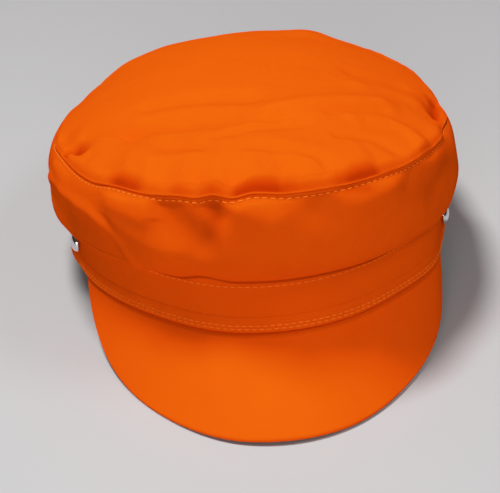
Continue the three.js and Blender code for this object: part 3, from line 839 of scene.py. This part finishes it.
def crownTop():
    # rings shrink from the rim to the middle, closer together by the seam where the puckers are
    inward = edgeSteps(crownGrid["topRings"], 100, cloth["wall"] / 2, last=False) ** crownGrid["crowding"]
    rings = 1 - inward * crownGrid["inmost"]
    middle = topAt(around[:, None] + 0 * rings, 0 * around[:, None] + rings)
    half = crownHalf(alongLengths(middle))
    # the thinner rim stays down on the side panel
    middle[..., 2] -= (cloth["wall"] / 2 - half) / pressed["cosine"]
    uv = middle[..., :2].copy()
    pole = topAt(np.array([0.0]), np.array([0.0]))[0]
    # painted shade on the top's colour
    hollow = hollowTop(around[:, None] + 0 * rings, 0 * around[:, None] + rings)
    return wallPiece("crownTop", middle, half, True, uv, pole=pole, hollow=hollow)


dress(crownSide(), twillCloth, "cotton_twill", "crown_side")
dress(crownTop(), twillCloth, "cotton_twill", "crown_top")

print("hat: band and peak")
# the strip over the band's edge: half its wall is thin as far as thinTo from the outer edge, then
# grows to the full one, and close to the edge it falls to a share of itself
binding = {"height": 7.5, "wall": 0.9, "corner": 0.6, "thin": 0.3, "clear": 0.02, "thinTo": 5,
           "growOver": 4, "edgeShare": 0.25, "edgeOver": 2.5}
# the painted shade under the lip: how far below the lip it starts on the band, and how far it goes to each
# side of its middle
shadeUnderLip = {"below": 3.1, "middle": 3, "reach": 40, "fade": 6, "soft": 0.5, "paintedShadeAmount": 0.7}


def bandPiece():
    # the band's wall from just above the strip to its rounded top
    a = around[::2]
    low = binding["wall"] + gap
    shares = edgeSteps(72, bandSize["height"] - 1, bandSize["wall"] / 2, first=False)
    heights = low + shares * (bandSize["height"] - low)
    middle = bandAt(a[:, None], -bandSize["wall"] / 2, heights[None, :])
    uv = np.stack(np.broadcast_arrays(a[:, None] * bandSize["perDegree"], heights[None]), -1)
    # painted shade on the band just under the lip, across the front
    edge = readRows(lipRows, "z", a)[:, None] - shadeUnderLip["below"]
    aside = np.abs(a - shadeUnderLip["middle"])[:, None]
    inFront = smooth((shadeUnderLip["reach"] - aside) / shadeUnderLip["fade"])
    hollow = shadeUnderLip["paintedShadeAmount"] * inFront * smooth((heights[None] - edge) / shadeUnderLip["soft"])
    return wallPiece("bandCloth", middle, bandSize["wall"] / 2, True, uv, 360 * bandSize["perDegree"],
                     hollow=hollow)


def bindingPiece():
    # a U of thin cloth round the band's lower edge, drawn close to it, its edges thinned by pressing
    a = around
    thin = binding["thin"]
    outside = binding["clear"] + thin
    inside = -bandSize["wall"] - gap - binding["wall"] / 2
    low = binding["wall"] / 2
    fold = low + binding["corner"]
    path = [(outside - 0.85 * thin, binding["height"]), (outside - 0.25 * thin, 6.2), (outside, 4.5),
            (outside, 2.6), (outside, fold), (outside - binding["corner"], low),
            (inside + binding["corner"], low), (inside, fold), (inside, 2.6), (inside, 5.0),
            (inside, binding["height"])]
    middle = curveThrough(np.array([bandAt(a, out, z + 0 * a) for out, z in path]), 4).transpose(1, 0, 2)
    # two more columns close to the outer edge keep its turn narrow
    edge = middle[:, :1] + (middle[:, 1:2] - middle[:, :1]) * np.array([0.06, 0.22])[:, None]
    middle = np.concatenate([middle[:, :1], edge, middle[:, 1:]], 1)
    run = alongLengths(middle)
    half = thin + (binding["wall"] / 2 - thin) * smooth((run - binding["thinTo"]) / binding["growOver"])
    share = binding["edgeShare"]
    half = half * (share + (1 - share) * smooth(run / binding["edgeOver"]))
    uv = np.stack(np.broadcast_arrays(a[:, None] * bandSize["perDegree"], run[None]), -1)
    return wallPiece("bandBinding", middle, half, True, uv, 360 * bandSize["perDegree"])


# the line of painted shade where the face of the peak comes out from under the band
peakRootShade = {"shade": 0.35, "from": 0.8, "over": 1.0}


def peakPiece():
    # a sewn edge turned up inside the band, then the face from the rim to the rounded outer edge
    a = np.linspace(-1, 1, 221) * peak["halfAngle"]
    inside = -bandSize["wall"] - 2 * gap - binding["wall"] - peak["wall"] / 2
    flange = np.array([bandAt(a, inside, z + 0 * a) for z in (peak["flange"], 2.0, -gap)])
    flange = curveThrough(np.concatenate([flange, peakAt(a, 0.0)[None]]), 4)[:-1]
    shares = edgeSteps(60, peak["length"], peak["wall"] / 2, first=False)
    face = peakAt(a[:, None] + 0 * shares, 0 * a[:, None] + shares)
    middle = np.concatenate([flange.transpose(1, 0, 2), face], 1)
    uv = np.stack([middle[..., 0], -middle[..., 2] * 1.3], -1)
    run = alongLengths(face)
    # painted shade along the peak's root
    hollow = np.zeros(middle.shape[:2])
    hollow[:, len(flange):] = peakRootShade["shade"] * smooth(1 - (run - peakRootShade["from"]) / peakRootShade["over"])
    return wallPiece("peakCloth", middle, peak["wall"] / 2, False, uv, hollow=hollow)


dress(bandPiece(), twillCloth, "cotton_twill", "band")
dress(bindingPiece(), twillCloth, "cotton_twill", "band_binding")
dress(peakPiece(), peakCloth, "covered_board", "visor")

print("hat: stitches")
stitch = {"length": 2.4, "radius": 0.24, "sink": 0.10, "arch": 0.20, "rings": 7, "sides": 6}


def stitchRow(name, surface, out, pitch):
    # beads of thread set along a row: a capsule bent over the cloth, its ends sunk into it; the
    # surface gives the row's places by angle, and those a little above it
    dense = np.linspace(-180, 180, 4000)
    path = surface(dense)
    run = np.concatenate([[0], np.cumsum(np.linalg.norm(np.diff(path, axis=0), axis=1))])
    count = int(run[-1] / pitch)
    at = np.interp((np.arange(count) + 0.5) * run[-1] / count, run, dense)
    centre = surface(at)
    aside, above = 0.4, 0.6
    along = surface(at + aside) - surface(at - aside)
    along /= np.linalg.norm(along, axis=1, keepdims=True)
    up = surface(at, above) - surface(at, -above)
    up -= along * (up * along).sum(1, keepdims=True)
    up /= np.linalg.norm(up, axis=1, keepdims=True)
    outward = np.cross(along, up)
    outward *= np.sign((outward * centre * (1, 1, 0)).sum(1, keepdims=True))
    n, m = stitch["rings"], stitch["sides"]
    t = np.linspace(-1, 1, n)
    phi = np.arange(m) / m * 2 * math.pi
    radius = stitch["radius"] * np.sqrt(np.clip(1 - np.abs(t) ** 4, 0.02, 1))
    lift = stitch["arch"] * (1 - t ** 2) - stitch["sink"] + out
    ring = (centre[:, None, None] + along[:, None, None] * (t * stitch["length"] / 2)[None, :, None, None]
            + outward[:, None, None] * (lift[:, None] + radius[:, None] * np.cos(phi))[None, :, :, None]
            + up[:, None, None] * (radius[:, None] * np.sin(phi))[None, :, :, None])
    points = ring.reshape(-1, 3)
    base = (np.arange(count) * n * m)[:, None]
    i, j = np.meshgrid(np.arange(n - 1), np.arange(m), indexing="ij")
    a, b = (i * m + j).ravel(), (i * m + (j + 1) % m).ravel()
    quads = np.stack([a, b, b + m, a + m], -1)
    sides = (base[:, :, None] + quads[None]).reshape(-1, 4)
    caps = np.concatenate([base + np.arange(m)[::-1], base + (n - 1) * m + np.arange(m)])
    uv = np.stack([np.repeat(t, m), np.tile(phi, n)], -1)
    piece = makeMesh(name, settle(points), [sides, caps], np.tile(uv, (count, 1)))
    tidyMesh(piece)
    dress(piece, threadCloth, "cotton_twill")


def seamRow(angle, up=0.0):    # along the groove beside the crown seam
    return panelAt(angle, 1 - (seamTurn["rowAt"] - up) / seamTurn["panel"] + 0 * angle)


def bandRow(z, out):    # round the band at a height
    return lambda angle, up=0.0: bandAt(angle, out, z + up + 0 * angle)


bindingFace = binding["clear"] + 2 * binding["thin"]
stitchRow("seamStitches", seamRow, out=cloth["wall"] / 2, pitch=3.25)
stitchRow("bandTopStitches", bandRow(z=21.7, out=0.0), out=0.0, pitch=3.1)
stitchRow("bindingStitchesHigh", bandRow(z=3.6, out=bindingFace), out=0.0, pitch=3.0)
stitchRow("bindingStitchesLow", bandRow(z=2.0, out=bindingFace), out=0.0, pitch=3.1)

print("hat: buttons")
button = {"radius": 4.3, "rise": 2.6, "post": 1.8, "postLength": 0.5, "rim": 0.26, "rimRise": 0.66,
          "angle": 80, "z": 12.2, "around": 56}


def buttonPiece(name, sign, node):
    # a profile turned round the line square to the band: post, flat back, rolled rim and dome
    post, back, edge = button["post"], button["postLength"], button["radius"]
    stem = [(1e-3, 0), (post - 0.3, 0), (post, 0.1), (post, back - 0.1), (post + 0.4, back)]
    rim = [(edge - 0.6, back), (edge - 0.2, back + 0.05), (edge - 0.03, back + 0.2), (edge, back + 0.38),
           (edge - 0.06, back + 0.56), (edge - 0.2, back + 0.64)]
    turn = np.linspace(0, math.pi / 2, 15)[:-1]
    cap = np.stack([(edge - button["rim"]) * np.cos(turn),
                    back + button["rimRise"] + (button["rise"] - button["rimRise"]) * np.sin(turn)], 1)
    r, h = np.concatenate([stem, rim, cap, [(1e-3, back + button["rise"])]]).T
    count = button["around"]
    phi = np.arange(count) / count * 2 * math.pi
    angle = sign * button["angle"]
    near = bandAt(np.array([angle - 1.0, angle, angle + 1.0]), 0, button["z"])
    along = near[2] - near[0]
    along /= np.linalg.norm(along)
    outward = np.array([along[1], -along[0], 0])
    outward *= np.sign(outward[0] * sign) / np.linalg.norm(outward)
    upward = np.cross(outward, along)
    centre = near[1] + outward * gap
    points = (centre + outward * h[:, None, None] + along * (r[:, None] * np.cos(phi))[..., None]
              + upward * (r[:, None] * np.sin(phi))[..., None]).reshape(-1, 3)
    i, j = np.meshgrid(np.arange(len(r) - 1), np.arange(count), indexing="ij")
    a, b = (i * count + j).ravel(), (i * count + (j + 1) % count).ravel()
    quads = np.stack([a, b, b + count, a + count], -1)
    piece = makeMesh(name, settle(points), [quads])
    tidyMesh(piece)
    dress(piece, chromePlate, "chrome", node)


buttonPiece("buttonLeft", -1, "button_left")
buttonPiece("buttonRight", 1, "button_right")

print("hat: floor")
floorFinish = {"shade": (0.385, 0.383, 0.385), "dark": (0.365, 0.363, 0.365), "patches": 4, "rough": 0.6,
               "size": 6.0}


def makeFloor():    # one wide square, faintly uneven in tone
    mesh = bpy.data.meshes.new("floor")
    s = floorFinish["size"]
    mesh.from_pydata([(-s, -s, 0), (s, -s, 0), (s, s, 0), (-s, s, 0)], [], [(0, 1, 2, 3)])
    floor = bpy.data.objects.new("floor", mesh)
    bpy.context.collection.objects.link(floor)
    material = bpy.data.materials.new("paleFloor")
    material.use_nodes = True
    tree = material.node_tree
    shader = tree.nodes["Principled BSDF"]
    place = addNode(tree, "ShaderNodeTexCoord")
    noise = addNode(tree, "ShaderNodeTexNoise")
    noise.inputs["Scale"].default_value = floorFinish["patches"]
    tree.links.new(place.outputs["Object"], noise.inputs["Vector"])
    mix = addNode(tree, "ShaderNodeMix", data_type="RGBA")
    mix.inputs["A"].default_value = (*floorFinish["dark"], 1)
    mix.inputs["B"].default_value = (*floorFinish["shade"], 1)
    tree.links.new(noise.outputs["Fac"], mix.inputs["Factor"])
    tree.links.new(mix.outputs["Result"], shader.inputs["Base Color"])
    shader.inputs["Roughness"].default_value = floorFinish["rough"]
    mesh.materials.append(material)


makeFloor()
